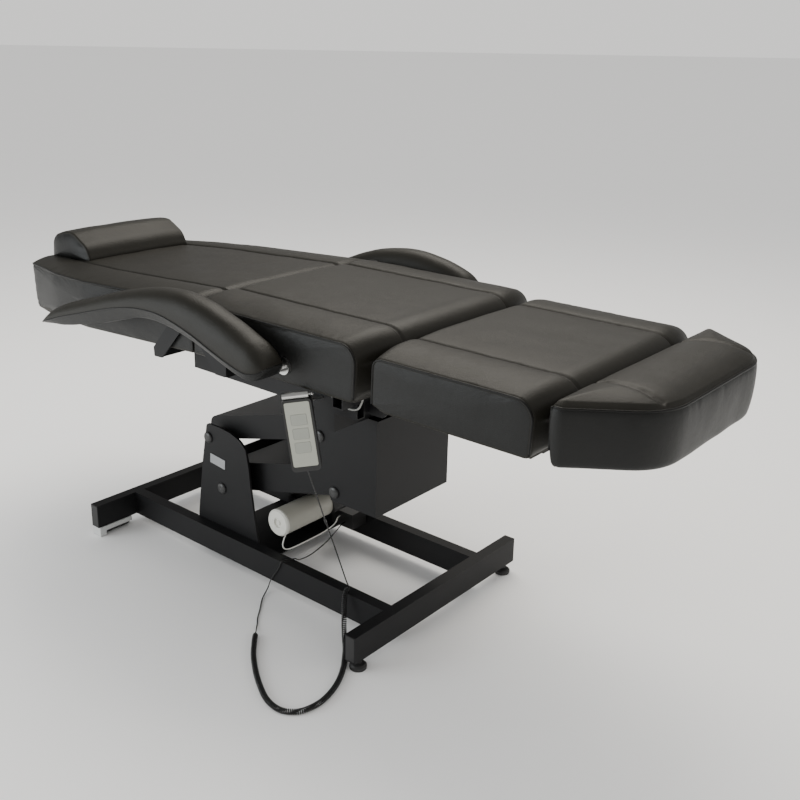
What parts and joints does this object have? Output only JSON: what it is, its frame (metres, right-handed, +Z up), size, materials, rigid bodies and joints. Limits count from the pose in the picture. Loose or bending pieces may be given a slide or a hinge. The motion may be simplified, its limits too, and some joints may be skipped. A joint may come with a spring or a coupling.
{
  "type": "electric facial treatment bed",
  "caption": "Electric facial treatment bed on an H-shaped steel base: parallelogram lift, reclining backrest, dropping leg rest, sliding footrest and swing-up armrests.",
  "frame": {"origin": "centre of the bed in plan, on the floor", "axes": "+X towards the foot end, -Y the side that carries the handset, +Z up"},
  "size_m": [1.9566, 0.9333, 0.8091],
  "materials": {
    "black_steel": "black powder coat with a fine orange-peel texture",
    "black_fasteners": "blackened domed bolt heads and collars",
    "bright_steel": "bright ground and plated steel",
    "zinc_housing": "light grey pressed steel",
    "roller_rubber": "dark rubber roller",
    "foot_plastic": "black rubber and plastic plugs and feet",
    "black_plastic": "black moulded plastic",
    "motor_grey": "warm grey painted motor tube",
    "cap_white": "near-white moulded end cap",
    "plate_aluminium": "blank brushed plate",
    "plywood": "raw plywood board",
    "leather": "near-black synthetic leather with a fine grain",
    "handset_silver": "silver-grey satin fascia",
    "key_grey": "soft grey rocker keys",
    "cord_black": "black flexible cord",
    "wire_white": "white sheathed wire",
    "cable_grey": "grey sheathed cable"
  },
  "bodies": {
    "base": {"head_crossbar": "black_steel", "foot_crossbar": "black_steel", "right_rail": "black_steel", "left_rail": "black_steel", "crossbar_end_caps": "foot_plastic", "levelling_feet": "foot_plastic", "roller_housings": "zinc_housing", "tower_right_plate": "black_steel", "tower_left_plate": "black_steel", "tower_web": "black_steel", "tower_pivot_bolts": "black_fasteners", "rating_plate": "plate_aluminium", "control_box": "black_plastic", "handset_coil": "cord_black", "handset_tail": "cord_black", "motor_wire": "wire_white", "handset_lead": "cord_black"},
    "right_roller": {"right_roller": "roller_rubber"},
    "left_roller": {"left_roller": "roller_rubber"},
    "upper_arm": {"upper_arm": "black_steel"},
    "lower_arm": {"lower_arm": "black_steel"},
    "lift_actuator": {"lift_gearbox": "black_plastic", "lift_motor": "motor_grey", "lift_motor_cap": "cap_white"},
    "lift_rod": {"lift_rod": "bright_steel"},
    "carriage": {"carriage_frame": "black_steel", "carriage_cover": "black_steel", "carriage_pivot_bolts": "black_fasteners", "seat_side_tubes": "black_steel", "seat_cross_tubes": "black_steel", "seat_board": "plywood", "seat_cushion": "leather", "seat_hinge_plates": "black_steel", "hinge_pins": "bright_steel", "leg_hinge_lugs": "black_steel", "armrest_pivot_bolts": "bright_steel", "handset_hook": "bright_steel", "handset_body": "black_plastic", "handset_face": "handset_silver", "seat_cable": "cable_grey"},
    "back_key": {"back_key": "key_grey"},
    "lift_key": {"lift_key": "key_grey"},
    "leg_key": {"leg_key": "key_grey"},
    "backrest": {"back_frame": "black_steel", "back_board": "plywood", "back_cushion": "leather"},
    "pillow": {"pillow": "leather"},
    "back_actuator": {"back_actuator": "black_plastic"},
    "back_actuator_rod": {"back_actuator_rod": "bright_steel"},
    "legrest": {"leg_frame": "black_steel", "leg_board": "plywood", "leg_cushion": "leather"},
    "leg_actuator": {"leg_actuator": "black_plastic"},
    "leg_actuator_rod": {"leg_actuator_rod": "bright_steel"},
    "footrest": {"footrest_slides": "bright_steel", "footrest_board": "plywood", "footrest_cushion": "leather"},
    "right_armrest": {"right_armrest": "leather"},
    "left_armrest": {"left_armrest": "leather"}
  },
  "joints": [
    {"name": "right_roller", "type": "hinge", "parent": "base", "child": "right_roller", "pos_m": [-0.628, -0.251, 0.0123], "axis": [0, 1, 0], "continuous": true},
    {"name": "left_roller", "type": "hinge", "parent": "base", "child": "left_roller", "pos_m": [-0.628, 0.251, 0.0123], "axis": [0, 1, 0], "continuous": true},
    {"name": "lift", "type": "hinge", "parent": "base", "child": "upper_arm", "pos_m": [-0.311, 0, 0.339], "axis": [0, -1, 0], "range_deg": [-6, 28], "deforming": ["handset_lead", "motor_wire"]},
    {"name": "lower_arm_pivot", "type": "hinge", "parent": "base", "child": "lower_arm", "pos_m": [-0.263, 0, 0.207], "axis": [0, -1, 0], "range_deg": [-6, 28]},
    {"name": "carriage_level", "type": "hinge", "parent": "upper_arm", "child": "carriage", "pos_m": [0.079, 0, 0.444], "axis": [0, -1, 0], "range_deg": [-28, 6]},
    {"name": "lift_actuator_tilt", "type": "hinge", "parent": "base", "child": "lift_actuator", "pos_m": [-0.207, 0.06, 0.128], "axis": [0, -1, 0], "range_deg": [-7, 30]},
    {"name": "lift_actuator_slide", "type": "slide", "parent": "lift_actuator", "child": "lift_rod", "axis": [0.9145, 0, 0.4045], "range_m": [-0.012, 0.05]},
    {"name": "backrest", "type": "hinge", "parent": "carriage", "child": "backrest", "pos_m": [-0.158, 0, 0.752], "axis": [0, 1, 0], "range_deg": [0, 65]},
    {"name": "back_actuator_tilt", "type": "hinge", "parent": "carriage", "child": "back_actuator", "pos_m": [0.287, -0.06, 0.563], "axis": [0, -1, 0], "range_deg": [-6, 6]},
    {"name": "back_actuator_slide", "type": "slide", "parent": "back_actuator", "child": "back_actuator_rod", "axis": [-0.9999, 0, 0.0104], "range_m": [-0.22, 0.22]},
    {"name": "legrest", "type": "hinge", "parent": "carriage", "child": "legrest", "pos_m": [0.386, 0, 0.64], "axis": [0, 1, 0], "range_deg": [0, 80]},
    {"name": "leg_actuator_tilt", "type": "hinge", "parent": "carriage", "child": "leg_actuator", "pos_m": [-0.023, 0.06, 0.585], "axis": [0, -1, 0], "range_deg": [-8, 8]},
    {"name": "leg_actuator_slide", "type": "slide", "parent": "leg_actuator", "child": "leg_actuator_rod", "axis": [0.9999, 0, -0.0146], "range_m": [-0.13, 0.01]},
    {"name": "footrest_slide", "type": "slide", "parent": "legrest", "child": "footrest", "axis": [1, 0, 0], "range_m": [0, 0.12]},
    {"name": "right_armrest", "type": "hinge", "parent": "carriage", "child": "right_armrest", "pos_m": [0.155, -0.32, 0.682], "axis": [0, 1, 0], "range_deg": [0, 50]},
    {"name": "left_armrest", "type": "hinge", "parent": "carriage", "child": "left_armrest", "pos_m": [0.155, 0.32, 0.682], "axis": [0, 1, 0], "range_deg": [0, 50]},
    {"name": "pillow_lift", "type": "slide", "parent": "backrest", "child": "pillow", "axis": [-0.0523, 0, 0.9986], "range_m": [0, 0.1]},
    {"name": "back_key_rock", "type": "hinge", "parent": "carriage", "child": "back_key", "pos_m": [0.20971, -0.33266, 0.57645], "axis": [0.7586, 0.6365, 0.1392], "range_deg": [-4, 4], "stiffness_Nm_per_rad": 0.05},
    {"name": "lift_key_rock", "type": "hinge", "parent": "carriage", "child": "lift_key", "pos_m": [0.21312, -0.32979, 0.54476], "axis": [0.7586, 0.6365, 0.1392], "range_deg": [-4, 4], "stiffness_Nm_per_rad": 0.05},
    {"name": "leg_key_rock", "type": "hinge", "parent": "carriage", "child": "leg_key", "pos_m": [0.21653, -0.32693, 0.51307], "axis": [0.7586, 0.6365, 0.1392], "range_deg": [-4, 4], "stiffness_Nm_per_rad": 0.05}
  ],
  "couplings": [
    {"joint": "lower_arm_pivot", "follows": "lift", "ratio": 1},
    {"joint": "carriage_level", "follows": "lift", "ratio": -1},
    {"joint": "lift_actuator_tilt", "follows": "lift", "ratio": 1.0056},
    {"joint": "lift_actuator_slide", "follows": "lift", "m_per_rad": 0.09611},
    {"joint": "back_actuator_tilt", "follows": "backrest", "ratio": -0.03279},
    {"joint": "back_actuator_slide", "follows": "backrest", "m_per_rad": 0.18672},
    {"joint": "leg_actuator_tilt", "follows": "legrest", "ratio": -0.07456},
    {"joint": "leg_actuator_slide", "follows": "legrest", "m_per_rad": -0.0826}
  ]
}
